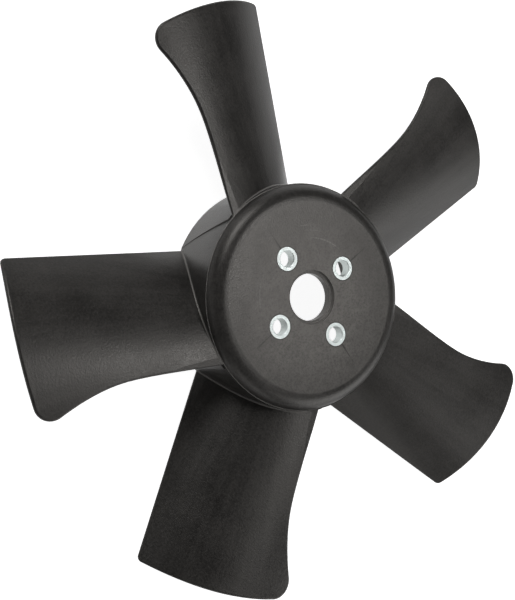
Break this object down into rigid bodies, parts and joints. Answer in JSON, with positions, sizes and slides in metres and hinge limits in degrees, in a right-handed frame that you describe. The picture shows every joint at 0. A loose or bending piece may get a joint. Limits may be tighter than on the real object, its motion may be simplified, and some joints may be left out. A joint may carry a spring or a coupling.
{
  "type": "axial fan impeller",
  "caption": "Moulded axial fan impeller: cup-shaped hub with swept, cambered, unevenly spaced blades, a central bore and steel-bushed bolt holes in its flat front plate.",
  "frame": {"origin": "centre of the bore in the plane of the seat that the motor's rotor flange touches, inside the hub's cup", "axes": "+Z along the axis of rotation, out of the hub's flat front face, towards the side that the air comes from; +X along the reference blade, about which the blade spacing is symmetric. The impeller lies on the rear rim of its hub."},
  "size_m": [0.3102, 0.3154, 0.0425],
  "materials": {
    "moulding": "semi-matt, near-black, fine moulded grain",
    "bush_steel": "bright zinc plate"
  },
  "bodies": {
    "root": {"impeller": "moulding", "bush_1": "bush_steel", "bush_2": "bush_steel", "bush_3": "bush_steel", "bush_4": "bush_steel"}
  },
  "joints": []
}
